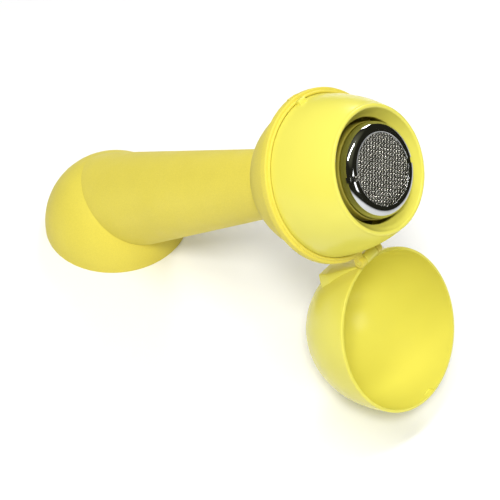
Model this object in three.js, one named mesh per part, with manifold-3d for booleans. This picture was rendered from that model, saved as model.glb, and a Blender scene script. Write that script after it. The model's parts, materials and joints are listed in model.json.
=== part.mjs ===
// Single-jet emergency eyewash outlet for a bench: a moulded foot and conical arm carry a ball-shaped head
// with a slotted, screened aerator, and a deep dust cap hinged under the head's lip hangs open.
// Millimetres, +Z up. The origin is the middle of the foot's flat underside, and the arm leans towards +X.
import * as THREE from 'three';
import { mergeVertices } from 'three/addons/utils/BufferGeometryUtils.js';
import Module from 'manifold-3d';

const wasm = await Module();
wasm.setup();

// Facet counts
const shellSides = 36;
const innerSides = 20;
const smallSides = 8;
const arcSteps = 7;
const innerArcSteps = 4;
const filletSteps = 3;

// Clearances and shop values
const seatGap = 0.3;
const pinGap = 0.2;
const overrun = 1;
const weldDistance = 0.0001;

// Layout: the arm's lean from upright, its length to the head's lip, and how far its axis passes over the
// foot's centre
const armTilt = THREE.MathUtils.degToRad(53.7);
const headReach = 141.2;
const armRise = 9.3;

// Supply tube and its nut
const tubeRadius = 6;
const tubeWall = 1.5;
const tubeStandoff = 0.6;
const nutWall = 2.5;
const nutHeight = 4.5;
const nutBoss = 1;

// Inlet elbow with its G 1/2 socket
const socketRadius = 9.3;
const socketDepth = 10;
const socketWall = 4.2;
const flangeRim = 1.5;
const flangeHeight = 3;
const elbowLegWall = 2.5;
const washerThickness = 1.5;
const sealThickness = 0.8;

// Foot
const footRadius = 31.2;
const footWall = 2.5;
const plateThickness = 3;
const plateClearance = 0.5;
const screwCount = 3;
const screwRadius = 1.5;
const screwHeadRadius = 3;
const screwLength = 12;
const screwSlotWidth = 0.9;
const postRadius = 3.6;
const postClearance = 2;
const gasketInset = 0.8;
const gasketWidth = 1.5;
const gasketHeight = 1.4;

// Arm
const neckRadius = 11.54;
const neckPlace = -24.4;
const armTaper = 0.0899;
const armWall = 2.2;
const collarReach = 8;
const collarWall = 2;

// Head: back shell and lip
const backRadius = 25.8;
const backCentre = -1.2;
const backWall = 2;
const spigotReach = 5.6;
const lipProud = 3.27;
const lipFront = 1.15;
const lipBack = -1.6;
const lipRound = 1.1;
const catchWidth = 4.2;
const catchLength = 2.2;
const catchRise = 0.35;

// Head: front shell, an egg shape with its mouth cut square
const frontInset = 1.68;
const frontCrown = 43.57;
const frontCentre = -6.5;
const frontWall = 2;
const mouthPlace = 21.9;
const mouthRound = 0.76;
const throatDepth = 3.1;
const throatShare = 0.415;
const throatLand = 1.2;
const skirtWall = 1.5;
const skirtDepth = 4;
const skirtStep = 2;
const tabWidth = 3.2;
const tabLength = 2;
const tabPlace = 2.6;
const tabProud = 0.71;

// Aerator
const aeratorRadius = 14.5;
const aeratorFront = 24;
const aeratorFlange = 0.4;
const aeratorWall = 1.45;
const aeratorLip = 0.8;
const aeratorLipThickness = 0.7;
const aeratorEdge = 0.5;
const threadGap = 0.35;
const keySlotWidth = 1.8;
const keySlotDepth = 1.1;
const keySlotTurn = -21.6;
const screenThickness = 0.4;
const screenPitch = 1.8;
const screenWire = 0.6;
const screenRim = 0.6;
const innerScreenPitch = 3.6;
const innerScreenWire = 0.9;
const diffuserThickness = 1.4;
const diffuserHole = 0.6;
const diffuserShares = [[0.33, 6], [0.67, 12]];
const regulatorThickness = 2.8;
const regulatorPort = 1.1;
const regulatorPorts = 6;
const regulatorShare = 0.5;

// Nozzle holder
const holderRim = 0.9;
const holderFront = 21.6;
const holderCup = 11.5;
const holderLedge = 3;
const holderWaist = 4;
const holderStemWall = 2.8;
const holderStemLength = 8;
const holderClearance = 2.4;
const sealSeat = 4.1;

// Cap and hinge
const capDepth = 35.8;
const capWall = 1;
const capFullness = 2.19;
const hingeOut = 2.1;
const knuckleWidth = 6;
const earWidth = 2.4;
const pinRadius = 0.8;
const blockWidth = 17;
const blockLength = 16.8;
const blockDrop = 2.15;
const blockSink = 6;
const blockNose = 8;
const blockDraft = 2.4;
const rimStep = 0.5;
const linkSink = 2.95;
const catchRecess = 0.35;

// Radii that follow from these
const footInner = footRadius - footWall;
const tubeBore = tubeRadius - tubeWall;
const tubeHole = tubeRadius + seatGap;
const elbowLegRadius = tubeRadius + elbowLegWall;
const socketOuter = socketRadius + socketWall;
const flangeReach = socketOuter + flangeRim;
const screwCircle = flangeReach + postRadius + postClearance;
const plateHole = socketOuter + seatGap;
const gasketInner = plateHole + gasketInset;
const backInner = backRadius - backWall;
const spigotRadius = neckRadius - armWall - seatGap;
const lipRadius = backRadius + lipProud;
const frontGirth = lipRadius - frontInset;
const skirtRadius = backInner - seatGap;
const tabRadius = frontGirth + tabProud;
const capRadius = lipRadius;
const capInner = capRadius - capWall;
const knuckleRadius = hingeOut - pinGap;
const holderRadius = aeratorRadius + holderRim;
const holderBore = aeratorRadius - aeratorFlange;
const aeratorThread = holderBore - threadGap;
const aeratorBore = aeratorThread - aeratorWall;
const aeratorMouth = aeratorBore - aeratorLip;
const insertRadius = aeratorBore - seatGap;

// Places along the arm's axis, counted from the lip's centre, that follow from these
const sphereReach = (radius, off) => Math.sqrt(radius ** 2 - off ** 2);
const armRadiusAt = (along) => neckRadius + armTaper * (neckPlace - along);
const elbowHeight = armRise / Math.sin(armTilt);
const elbowAlong = armRise / Math.tan(armTilt) - headReach;
const footSeat = sphereReach(footInner, armRise + elbowLegRadius) - headReach;
const sealPlace = footSeat - seatGap - sealThickness;
const elbowEnd = sealPlace - seatGap;
const tubeLow = socketDepth + tubeStandoff - (armRise - tubeRadius) * Math.sin(armTilt);
const tubeFoot = tubeLow / Math.cos(armTilt) - headReach;
const footFaceOnAxis = sphereReach(footRadius, armRise) - headReach;
const collarEnd = footFaceOnAxis + collarReach;
const collarRadius = armRadiusAt(collarEnd) - armWall - seatGap;
const nutSeat = backCentre - sphereReach(backInner, spigotRadius) + nutBoss;
const nutPlace = nutSeat + seatGap;
const holderFoot = nutPlace + nutHeight + holderClearance;
const holderShoulder = holderFoot + holderStemLength;
const tubeTop = holderFoot + sealSeat;
const frontSeat = lipFront + seatGap;
const capSeat = lipFront + seatGap;
const hingeAt = lipRadius + hingeOut;
const mouthOuter = frontGirth * Math.sqrt(1 - ((mouthPlace - frontCentre) / frontCrown) ** 2);
const mouthRadius = mouthOuter - 2 * mouthRound;
const throatRadius = holderRadius + (mouthRadius - holderRadius) * throatShare;

// Finishes
const moulded = (color, roughness) => new THREE.MeshStandardMaterial({ color, roughness, metalness: 0 });
const metallic = (color, roughness) => new THREE.MeshStandardMaterial({ color, roughness, metalness: 1 });
const yellowBright = moulded(0xf0e450, 0.35);
const yellowMatt = moulded(0xd8cb4e, 0.6);
const rubberBlack = moulded(0x22221f, 0.85);
const acetalBlack = moulded(0x1c1c1a, 0.5);
const brass = metallic(0xb4934d, 0.35);
const chrome = metallic(0xc9ccce, 0.08);
const steel = metallic(0xa8a9a6, 0.3);

// A closed geometry becomes a solid with its faces outwards.
function solid(geometry) {
  const bare = geometry.clone();
  bare.deleteAttribute('normal');
  bare.deleteAttribute('uv');
  const merged = mergeVertices(bare, weldDistance);
  const points = merged.getAttribute('position');
  const faces = [];
  let volume = 0;
  const corner = [new THREE.Vector3(), new THREE.Vector3(), new THREE.Vector3()];
  for (let i = 0; i < merged.index.count; i += 3) {
    const face = [merged.index.getX(i), merged.index.getX(i + 1), merged.index.getX(i + 2)];
    if (face[0] === face[1] || face[1] === face[2] || face[2] === face[0]) continue;
    face.forEach((vertex, place) => corner[place].fromBufferAttribute(points, vertex));
    volume += corner[0].dot(corner[1].clone().cross(corner[2]));
    faces.push(face);
  }
  if (volume < 0) faces.forEach((face) => face.reverse());
  const mesh = new wasm.Mesh({
    numProp: 3,
    vertProperties: new Float32Array(points.array),
    triVerts: new Uint32Array(faces.flat()),
  });
  return new wasm.Manifold(mesh);
}

// A profile of [radius, height] points, turned about the Z axis.
function turned(profile, sides = shellSides) {
  const points = profile.map(([radius, height]) => new THREE.Vector2(radius, height));
  const geometry = new THREE.LatheGeometry([...points, points[0].clone()], sides);
  return solid(geometry.rotateX(Math.PI / 2));
}

// A ring or disc between two heights.
function ring(inner, outer, low, high, sides = innerSides) {
  return turned([[inner, low], [outer, low], [outer, high], [inner, high]], sides);
}

function arc(centreRadius, centreHeight, acrossSize, alongSize, from, to, steps) {
  const points = [];
  for (let i = 0; i <= steps; i += 1) {
    const turn = from + ((to - from) * i) / steps;
    points.push([centreRadius + acrossSize * Math.cos(turn), centreHeight + alongSize * Math.sin(turn)]);
  }
  return points;
}

function box(xSize, ySize, zSize, x, y, z) {
  return solid(new THREE.BoxGeometry(xSize, ySize, zSize).translate(x, y, z));
}

// A cylinder lying along Y, for the hinge.
function crossPin(radius, from, to, x, z, sides = innerSides) {
  const geometry = new THREE.CylinderGeometry(radius, radius, to - from, sides);
  return solid(geometry.translate(x, (from + to) / 2, z));
}

// A whole ball, with the same facets as the foot's.
function ball(radius) {
  return turned(arc(0, 0, radius, radius, -Math.PI / 2, Math.PI / 2, 2 * (arcSteps + filletSteps)));
}

const polar = (radius, turn) => [radius * Math.cos(turn), radius * Math.sin(turn)];

const root = new THREE.Group();

// Everything on the arm's axis sits in this frame: its Z runs out through the mouth, its origin is the lip's
// centre, and its +X side is the hinge side.
const head = new THREE.Group();
head.position.set(
  headReach * Math.sin(armTilt) - armRise * Math.cos(armTilt),
  0,
  headReach * Math.cos(armTilt) + armRise * Math.sin(armTilt),
);
head.rotation.y = armTilt;
head.updateMatrix();
root.add(head);

// Moves a solid from the arm's frame to the foot's frame, and back.
const inFootFrame = (shape) => shape.transform(head.matrix.toArray());
const inArmFrame = (shape) => shape.transform(head.matrix.clone().invert().toArray());

function place(name, shape, material, group) {
  const { numProp, vertProperties, triVerts } = shape.getMesh();
  const geometry = new THREE.BufferGeometry();
  geometry.setAttribute('position', new THREE.BufferAttribute(new Float32Array(vertProperties), numProp));
  geometry.setIndex(new THREE.BufferAttribute(new Uint32Array(triVerts), 1));
  geometry.computeVertexNormals();
  const mesh = new THREE.Mesh(geometry, material);
  mesh.name = name;
  group.add(mesh);
}

// Points spaced evenly on a circle
function around(radius, count) {
  return Array.from({ length: count }, (_, i) => polar(radius, (Math.PI * (1 + 2 * i)) / count));
}

// Foot: half-ball shell with a collar that centres the arm, a seat for the elbow and three screw posts
function makeFoot() {
  let shell = turned([
    ...arc(0, 0, footRadius, footRadius, 0, Math.PI / 2, arcSteps + filletSteps),
    ...arc(0, 0, footInner, footInner, Math.PI / 2, 0, arcSteps - 1),
  ]);
  const core = ball(footRadius - footWall / 2);
  const collarTube = inFootFrame(ring(collarRadius - collarWall, collarRadius, footSeat, collarEnd));
  const seat = inFootFrame(ring(0, elbowLegRadius, footSeat, footFaceOnAxis - footWall / 2));
  shell = shell.add(collarTube.subtract(core)).add(seat);
  shell = shell.subtract(inFootFrame(ring(0, tubeHole, footSeat - overrun, collarEnd + overrun)));
  const postFoot = plateThickness + seatGap;
  for (const [x, y] of around(screwCircle, screwCount)) {
    const post = ring(0, postRadius, postFoot, footInner, smallSides).translate([x, y, 0]).intersect(core);
    const pilotTop = screwLength + screwRadius + seatGap;
    const pilot = ring(0, screwRadius + pinGap, postFoot - overrun, pilotTop, smallSides);
    shell = shell.add(post).subtract(pilot.translate([x, y, 0]));
  }
  place('base_dome', shell, yellowMatt, root);
}

// Plate that closes the foot, with countersunk holes and a groove for the gasket
function makePlate() {
  const countersink = screwHeadRadius + seatGap;
  const gasketOuter = gasketInner + gasketWidth;
  const grooveRoof = gasketHeight + seatGap;
  const groove = ring(gasketInner - seatGap, gasketOuter + seatGap, -overrun, grooveRoof, shellSides);
  let plate = ring(plateHole, footInner - plateClearance, 0, plateThickness, shellSides).subtract(groove);
  for (const [x, y] of around(screwCircle, screwCount)) {
    const hole = turned([
      [0, -overrun],
      [countersink, -overrun],
      [countersink, seatGap],
      [screwRadius + seatGap, screwHeadRadius - screwRadius + seatGap],
      [screwRadius + seatGap, plateThickness + overrun],
      [0, plateThickness + overrun],
    ], smallSides);
    plate = plate.subtract(hole.translate([x, y, 0]));
  }
  place('base_plate', plate, yellowMatt, root);
  place('base_gasket', ring(gasketInner, gasketOuter, 0, gasketHeight, shellSides), rubberBlack, root);
}

function makePlateScrews() {
  around(screwCircle, screwCount).forEach(([x, y], index) => {
    const body = turned([
      [0, seatGap],
      [screwHeadRadius, seatGap],
      [screwRadius, screwHeadRadius - screwRadius + seatGap],
      [screwRadius, screwLength],
      [0, screwLength + screwRadius],
    ], smallSides);
    const slot = box(2 * screwHeadRadius + overrun, screwSlotWidth, screwSlotWidth, 0, 0, seatGap);
    place(`plate_screw_${index + 1}`, body.subtract(slot).translate([x, y, 0]), steel, root);
  });
}

// A hexagon across its flats, between two heights
function hexagon(across, low, high) {
  return ring(0, across / 2 / Math.cos(Math.PI / 6), low, high, 6);
}

// Brass elbow: hexagon-flanged socket below, leg along the arm's axis
function makeElbow() {
  const flangeLow = plateThickness + seatGap;
  const flange = hexagon(2 * flangeReach, flangeLow, flangeLow + flangeHeight);
  const top = elbowHeight + socketWall;
  const body = turned([
    [0, 0],
    [socketOuter, 0],
    [socketOuter, elbowHeight],
    [elbowLegRadius, top],
    [0, top],
  ], innerSides);
  const leg = inFootFrame(ring(0, elbowLegRadius, elbowAlong, elbowEnd));
  const throat = ring(0, tubeBore, socketDepth - overrun, elbowHeight);
  const way = inFootFrame(ring(0, tubeBore, elbowAlong, elbowEnd));
  const grip = inFootFrame(ring(0, tubeHole, tubeFoot - seatGap, elbowEnd + overrun));
  const spotFace = inFootFrame(ring(0, elbowLegRadius + seatGap, elbowEnd, footSeat + seatGap));
  const socket = ring(0, socketRadius, -overrun, socketDepth);
  const elbow = body.add(flange).add(leg).subtract(spotFace)
    .subtract(socket).subtract(throat).subtract(way).subtract(grip);
  place('inlet_elbow', elbow, brass, root);
  const washerTop = socketDepth - seatGap;
  const washer = ring(tubeBore, socketRadius - seatGap, washerTop - washerThickness, washerTop);
  place('inlet_washer', washer, rubberBlack, root);
}

// Supply tube with the seal at its foot, and the nut that ties head, arm and foot together
function makeTube() {
  const seal = ring(tubeHole, elbowLegRadius, sealPlace, sealPlace + sealThickness);
  place('elbow_seal', seal, rubberBlack, head);
  place('supply_tube', ring(tubeBore, tubeRadius, tubeFoot, tubeTop), brass, head);
  const nutTop = nutPlace + nutHeight;
  const nut = hexagon(2 * (tubeRadius + nutWall), nutPlace, nutTop);
  place('head_locknut', nut.subtract(ring(0, tubeHole, nutPlace - overrun, nutTop + overrun)), brass, head);
}

// Arm: conical tube, cut to the foot's ball below and to the head's ball above
function makeArm() {
  const low = -headReach + seatGap;
  const high = backCentre;
  const tube = turned([
    [armRadiusAt(low) - armWall, low],
    [armRadiusAt(low), low],
    [armRadiusAt(high), high],
    [armRadiusAt(high) - armWall, high],
  ]);
  const footBall = inArmFrame(ball(footRadius + seatGap));
  const headBall = ball(backRadius + seatGap).translate([0, 0, backCentre]);
  place('arm', tube.subtract(footBall).subtract(headBall), yellowMatt, head);
}

// Back shell: rear ball with its spigot in the arm, the lip, two hinge ears and the cap's catch bump
function makeBackShell() {
  const spigotEnd = backCentre - backRadius - spigotReach;
  const ballFrom = -Math.acos(spigotRadius / backRadius);
  const lipMeets = Math.asin((lipBack - backCentre) / backRadius);
  let shell = turned([
    [tubeHole, spigotEnd],
    [spigotRadius, spigotEnd],
    ...arc(0, backCentre, backRadius, backRadius, ballFrom, lipMeets, arcSteps),
    [lipRadius - lipRound, lipBack],
    ...arc(lipRadius - lipRound, lipFront - lipRound, lipRound, lipRound, 0, Math.PI / 2, filletSteps),
    [backInner, lipFront],
    ...arc(0, backCentre, backInner, backInner, 0, -Math.acos(spigotRadius / backInner), innerArcSteps),
    [spigotRadius, nutSeat],
    [tubeHole, nutSeat],
  ]);
  const earInner = knuckleWidth / 2 + seatGap;
  const webRoot = lipRadius - lipRound - seatGap;
  const lipMiddle = (lipFront + lipBack) / 2;
  for (const side of [-1, 1]) {
    const from = side > 0 ? earInner : -earInner - earWidth;
    const ear = crossPin(knuckleRadius, from, from + earWidth, hingeAt, 0);
    const web = box(hingeAt - webRoot, earWidth, lipFront - lipBack,
      (hingeAt + webRoot) / 2, from + earWidth / 2, lipMiddle);
    shell = shell.add(ear).add(web);
  }
  const bump = box(2 * catchRise, catchWidth, catchLength, -lipRadius, 0, lipMiddle);
  const notchFloor = hingeAt - linkSink - seatGap;
  const notch = box(2 * hingeOut, 2 * earInner, 2 * hingeAt, notchFloor + hingeOut, 0, 0);
  const holeHalf = earInner + 2 * earWidth;
  const hole = crossPin(pinRadius + pinGap, -holeHalf, holeHalf, hingeAt, 0, smallSides);
  place('back_shell', shell.add(bump).subtract(notch).subtract(hole), yellowMatt, head);
}

// Front shell: egg-shaped front with a rounded, funnelled mouth, a skirt inside the back shell and a snap tab
function makeFrontShell() {
  const girthAngle = (height, crown) => Math.asin((height - frontCentre) / crown);
  const innerCrown = frontCrown - frontWall;
  const innerGirth = frontGirth - frontWall;
  const throatPlace = mouthPlace - throatDepth;
  const land = throatPlace - throatLand;
  const profile = [
    ...arc(0, frontCentre, frontGirth, frontCrown,
      girthAngle(frontSeat, frontCrown), girthAngle(mouthPlace, frontCrown), arcSteps),
    ...arc(mouthRadius + mouthRound, mouthPlace, mouthRound, mouthRound, 0, Math.PI, filletSteps + 1),
    [throatRadius, throatPlace],
    [throatRadius, land],
    ...arc(0, frontCentre, innerGirth, innerCrown,
      girthAngle(land, innerCrown), girthAngle(frontSeat + skirtStep, innerCrown), innerArcSteps),
    [skirtRadius - skirtWall, frontSeat + skirtStep],
    [skirtRadius - skirtWall, frontSeat - skirtDepth],
    [skirtRadius, frontSeat - skirtDepth],
    [skirtRadius, frontSeat],
  ];
  const tab = box(tabRadius - innerGirth, tabWidth, tabLength, -(tabRadius + innerGirth) / 2, 0, tabPlace);
  place('front_shell', turned(profile).add(tab), yellowBright, head);
}

// Nozzle holder: stem screwed on the tube, widening to the collar that takes the aerator
function makeNozzle() {
  const stem = tubeRadius + holderStemWall;
  const ledge = holderBore - holderLedge;
  const sealTop = tubeTop + sealThickness + 2 * seatGap;
  const holder = turned([
    [tubeHole, holderFoot],
    [stem, holderFoot],
    [stem, holderShoulder],
    [holderRadius, holderWaist],
    [holderRadius, holderFront],
    [holderBore, holderFront],
    [holderBore, holderCup],
    [ledge, holderCup],
    [ledge, holderWaist],
    [tubeBore, holderShoulder],
    [tubeBore, sealTop],
    [tubeHole, sealTop],
  ], shellSides);
  place('nozzle_holder', holder, yellowBright, head);
  const sealLow = tubeTop + seatGap;
  place('nozzle_seal', ring(tubeBore, tubeRadius, sealLow, sealLow + sealThickness), rubberBlack, head);
}

// A round flat screen: wires crossing at right angles in a plain rim
function screen(pitch, wire, turn, low) {
  const disc = ring(0, insertRadius - screenRim / 2, 0, screenThickness);
  const reach = Math.floor(insertRadius / pitch);
  const wires = [];
  for (let i = -reach; i <= reach; i += 1) {
    wires.push(box(2 * insertRadius, wire, screenThickness, 0, i * pitch, screenThickness / 2));
    wires.push(box(wire, 2 * insertRadius, screenThickness, i * pitch, 0, screenThickness / 2));
  }
  const net = wasm.Manifold.union(wires).intersect(disc);
  const rim = ring(insertRadius - screenRim, insertRadius, 0, screenThickness);
  return net.add(rim).rotate([0, 0, turn]).translate([0, 0, low]);
}

// A round insert of the aerator with holes on circles, each given as a share of its radius and a count
function drilled(low, thickness, hole, sides, circles) {
  let plate = ring(0, insertRadius, low, low + thickness);
  const drill = ring(0, hole, low - overrun, low + thickness + overrun, sides);
  for (const [share, count] of circles) {
    for (const [x, y] of around(insertRadius * share, count)) {
      plate = plate.subtract(drill.translate([x, y, 0]));
    }
  }
  return plate;
}

// Aerator: chromed housing with two key slots, and the stack of inserts behind its front lip
function makeAerator() {
  const flangeBack = holderFront + seatGap;
  const washerLow = holderCup + seatGap;
  const back = washerLow + washerThickness + seatGap;
  const lipFace = aeratorFront - aeratorLipThickness;
  let housing = turned([
    [aeratorBore, back],
    [aeratorThread, back],
    [aeratorThread, flangeBack],
    [aeratorRadius, flangeBack],
    ...arc(aeratorRadius - aeratorEdge, aeratorFront - aeratorEdge, aeratorEdge, aeratorEdge,
      0, Math.PI / 2, filletSteps),
    [aeratorMouth, aeratorFront],
    [aeratorMouth, lipFace],
    [aeratorBore, lipFace],
  ]);
  const slotReach = aeratorRadius - aeratorMouth + 2 * overrun;
  const slotMiddle = aeratorMouth + slotReach / 2;
  for (const side of [-1, 1]) {
    const slot = box(keySlotWidth, slotReach, 2 * keySlotDepth, 0, side * slotMiddle, aeratorFront);
    housing = housing.subtract(slot.rotate([0, 0, keySlotTurn]));
  }
  place('aerator_housing', housing, chrome, head);
  const washer = ring(holderBore - holderLedge, aeratorThread, washerLow, washerLow + washerThickness);
  place('aerator_washer', washer, rubberBlack, head);

  const outerLow = lipFace - seatGap - screenThickness;
  const innerLow = outerLow - seatGap - screenThickness;
  const diffuserLow = innerLow - seatGap - diffuserThickness;
  const regulatorLow = diffuserLow - seatGap - regulatorThickness;
  const diffuser = drilled(diffuserLow, diffuserThickness, diffuserHole, 2 * filletSteps, diffuserShares);
  const regulator = drilled(regulatorLow, regulatorThickness, regulatorPort, smallSides,
    [[regulatorShare, regulatorPorts]]);
  place('outlet_screen', screen(screenPitch, screenWire, keySlotTurn, outerLow), steel, head);
  place('inner_screen', screen(innerScreenPitch, innerScreenWire, 0, innerLow), steel, head);
  place('diffuser_plate', diffuser, acetalBlack, head);
  place('flow_regulator', regulator, acetalBlack, head);
}

// A bowl's half outline from its rim to its pole, fuller than an ellipse
function bowlOutline(radius, depth) {
  const points = [];
  const steps = arcSteps + filletSteps;
  for (let i = 0; i < steps; i += 1) {
    const turn = (Math.PI / 2) * (i / steps);
    points.push([
      radius * Math.cos(turn) ** (2 / capFullness),
      -capSeat - depth * Math.sin(turn) ** (2 / capFullness),
    ]);
  }
  return [...points, [0, -capSeat - depth]];
}

// A block between two places along X, given as [height, half width] ends, whose far face is wider by a draft
function frustum(near, far, ends, draft) {
  const corners = [];
  for (const [height, half] of ends) {
    for (const side of [-1, 1]) {
      corners.push([near, side * half, height], [far, side * (half + draft), height]);
    }
  }
  return wasm.Manifold.hull(corners);
}

// Cap: deep bowl hanging open, half a turn from closed, with a flat hinge block and the knuckle
function makeCap() {
  const centre = 2 * hingeAt;
  const bowl = turned([[0, -capSeat], ...bowlOutline(capRadius, capDepth)]);
  const hollow = turned([
    [0, -capSeat + overrun],
    [capInner, -capSeat + overrun],
    ...bowlOutline(capInner, capDepth - capWall),
  ]);
  const flat = hingeAt + blockDrop;
  const blockFront = -capSeat - rimStep;
  const block = frustum(flat, flat + capWall + blockSink,
    [[blockFront, blockNose / 2], [blockFront - blockLength, blockWidth / 2]], blockDraft);
  const knuckle = crossPin(knuckleRadius, -knuckleWidth / 2, knuckleWidth / 2, hingeAt, 0);
  const linkEnd = hingeAt + linkSink - seatGap;
  const linkFoot = box(linkEnd - flat, knuckleWidth, 2 * knuckleRadius,
    (linkEnd + flat) / 2, 0, blockFront - knuckleRadius);
  const link = wasm.Manifold.hull([knuckle, linkFoot]);
  const hole = crossPin(pinRadius + pinGap, -knuckleWidth, knuckleWidth, hingeAt, 0, smallSides);
  const recess = box(2 * (tabRadius + catchRecess - capInner), tabWidth + 2 * catchRecess,
    2 * (tabPlace + tabLength / 2 - capSeat + catchRecess), centre + capInner, 0, -capSeat);
  const cap = bowl.translate([centre, 0, 0]).add(block).add(link)
    .subtract(hollow.translate([centre, 0, 0])).subtract(hole).subtract(recess);
  place('cap', cap, yellowBright, head);
  const pinHalf = knuckleWidth / 2 + seatGap + earWidth;
  place('hinge_pin', crossPin(pinRadius, -pinHalf, pinHalf, hingeAt, 0, smallSides), yellowBright, head);
}

makeFoot();
makePlate();
makePlateScrews();
makeElbow();
makeTube();
makeArm();
makeBackShell();
makeFrontShell();
makeNozzle();
makeAerator();
makeCap();

export default root;
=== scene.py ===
"""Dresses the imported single-jet eyewash outlet: fine shells, chromed aerator, woven screens and finishes."""
import json
import math
from functools import partial

import bmesh
import bpy
from bpy.props import FloatProperty, FloatVectorProperty, IntProperty, PointerProperty
from bpy.types import Operator, Panel, PropertyGroup
from mathutils import Matrix, Vector


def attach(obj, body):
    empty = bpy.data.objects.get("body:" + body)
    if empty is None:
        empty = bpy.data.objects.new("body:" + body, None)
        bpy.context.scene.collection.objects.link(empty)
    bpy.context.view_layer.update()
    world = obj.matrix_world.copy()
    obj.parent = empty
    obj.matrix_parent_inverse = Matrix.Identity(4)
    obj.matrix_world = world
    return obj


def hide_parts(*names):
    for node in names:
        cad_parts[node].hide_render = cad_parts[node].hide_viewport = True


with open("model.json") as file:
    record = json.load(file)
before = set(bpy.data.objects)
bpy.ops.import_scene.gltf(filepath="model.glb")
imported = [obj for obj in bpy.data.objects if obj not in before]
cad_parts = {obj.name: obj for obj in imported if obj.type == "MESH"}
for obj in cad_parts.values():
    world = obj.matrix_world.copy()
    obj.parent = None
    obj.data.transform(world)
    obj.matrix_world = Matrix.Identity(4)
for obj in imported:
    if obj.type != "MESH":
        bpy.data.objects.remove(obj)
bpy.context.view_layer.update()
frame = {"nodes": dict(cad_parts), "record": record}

bl_info = {
    "name": "Eyewash Outlet",
    "version": (1, 0, 0),
    "blender": (4, 5, 0),
    "location": "3D View > Sidebar > Eyewash",
    "description": "Makes the shells, aerator, screens, cap and finishes of a bench eyewash outlet",
    "category": "Object",
}

MM = 0.001
FIXED = "root"
CAP_BODY = "dust_cap"
QUARTER = math.pi / 2

# Facets round a shell, the elbow, a thick rod, a bore, a small piece, a post and its pilot hole
TURNS, ELBOW_TURNS, ROD_TURNS, BORE_TURNS, SMALL_TURNS, POST_TURNS, PILOT_TURNS = 160, 120, 96, 64, 48, 32, 24
# Steps along an outline's arc, over a rounded corner and over a bevel, and between the ends of the arm
ARC_STEPS, CORNER_STEPS, BEVEL_STEPS, ARM_STEPS = 40, 5, 3, 13
# Steps over the lip's bead, the mouth's edge and the chromed ring's edge
BEAD_STEPS, MOUTH_STEPS, RING_STEPS = 10, 14, 18
# Facets round a woven wire, the screen's rim and along that rim
WIRE_TURNS, RIM_TURNS, RIM_STEPS = 6, 8, 96

# Edges of a smaller angle than this are shaded smooth
SHARP = math.radians(32)
# Angle at which the mouth's round leaves the egg shape
MOUTH_START = math.radians(20)
# Turn at which a ball's outline stops short of its pole
NEAR_POLE = QUARTER - 0.001
# Faces this close to one plane are merged in a hull; points this close are one
FLAT, POLE, WELD = 0.01, 1e-9, 1e-7
# A corner's round takes at most this share of each of its sides
ROUND_SHARE = 0.49

# Rounds of edges, from crisp to wide
CRISP, FINE, EDGE, SOFT, FULL, BROAD, WIDE = 0.1 * MM, 0.2 * MM, 0.3 * MM, 0.4 * MM, 0.5 * MM, MM, 2 * MM
# How far a cut runs past the face that it opens, and the pin's bore to each side of its middle
OVERRUN, PIN_REACH = MM, 9 * MM
# How far the notch in the lip is cut along the axis, to each side, and past the pin
NOTCH_REACH, NOTCH_PAST = 8 * MM, 4 * MM

ADD, CUT, COMMON = "UNION", "DIFFERENCE", "INTERSECT"


# ---------------------------------------------------------------- settings

def linear(colour):
    """An sRGB hex colour as the linear RGBA that shaders take."""
    parts = [int(colour[i:i + 2], 16) / 255 for i in (1, 3, 5)]
    parts = [c / 12.92 if c <= 0.04045 else ((c + 0.055) / 1.055) ** 2.4 for c in parts]
    return (*parts, 1.0)


def number(name, description, value, **kind):
    """A number, plain or of the kind that unit and subtype name."""
    return FloatProperty(name=name, description=description, default=value, **kind)


def length(name, description, size):
    """A size in millimetres, kept in metres."""
    return number(name, description, size * MM, unit="LENGTH", precision=5)


def angle(name, description, degrees):
    """An angle in degrees, kept in radians."""
    return number(name, description, math.radians(degrees), subtype="ANGLE")


def tint(name, description, colour):
    """A colour, given as sRGB hex."""
    return FloatVectorProperty(name=name, description=description, default=linear(colour), size=4,
                               subtype="COLOR", min=0.0, max=1.0)


def chosen(context, *names):
    """The groups of settings with these names."""
    return [getattr(context.scene, f"outlet_{name}") for name in names]


def polar(radius, turn, height=0.0):
    """Point at a distance from the axis, a turn round it and a height along it."""
    return radius * math.cos(turn), radius * math.sin(turn), height


class LayoutSettings(PropertyGroup):
    """How the arm carries the head over the foot."""
    tilt: angle("Tilt", "Lean of the arm from upright", 53.7)
    reach: length("Reach", "From the foot to the middle of the head's lip, along the arm", 141.2)
    rise: length("Rise", "How far the arm's axis passes over the foot's centre", 9.3)
    gap: length("Gap", "Clearance between pieces that seat on each other", 0.3)

    def frame(self):
        """Place of the arm's own axes: Z runs out through the mouth, X towards the hinge."""
        sine, cosine = math.sin(self.tilt), math.cos(self.tilt)
        middle = (self.reach * sine - self.rise * cosine, 0, self.reach * cosine + self.rise * sine)
        return Matrix.Translation(middle) @ Matrix.Rotation(self.tilt, 4, "Y")

    def foot_frame(self):
        """The same axes, counted from beside the foot's centre."""
        return self.frame() @ Matrix.Translation((0, 0, -self.reach))


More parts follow.
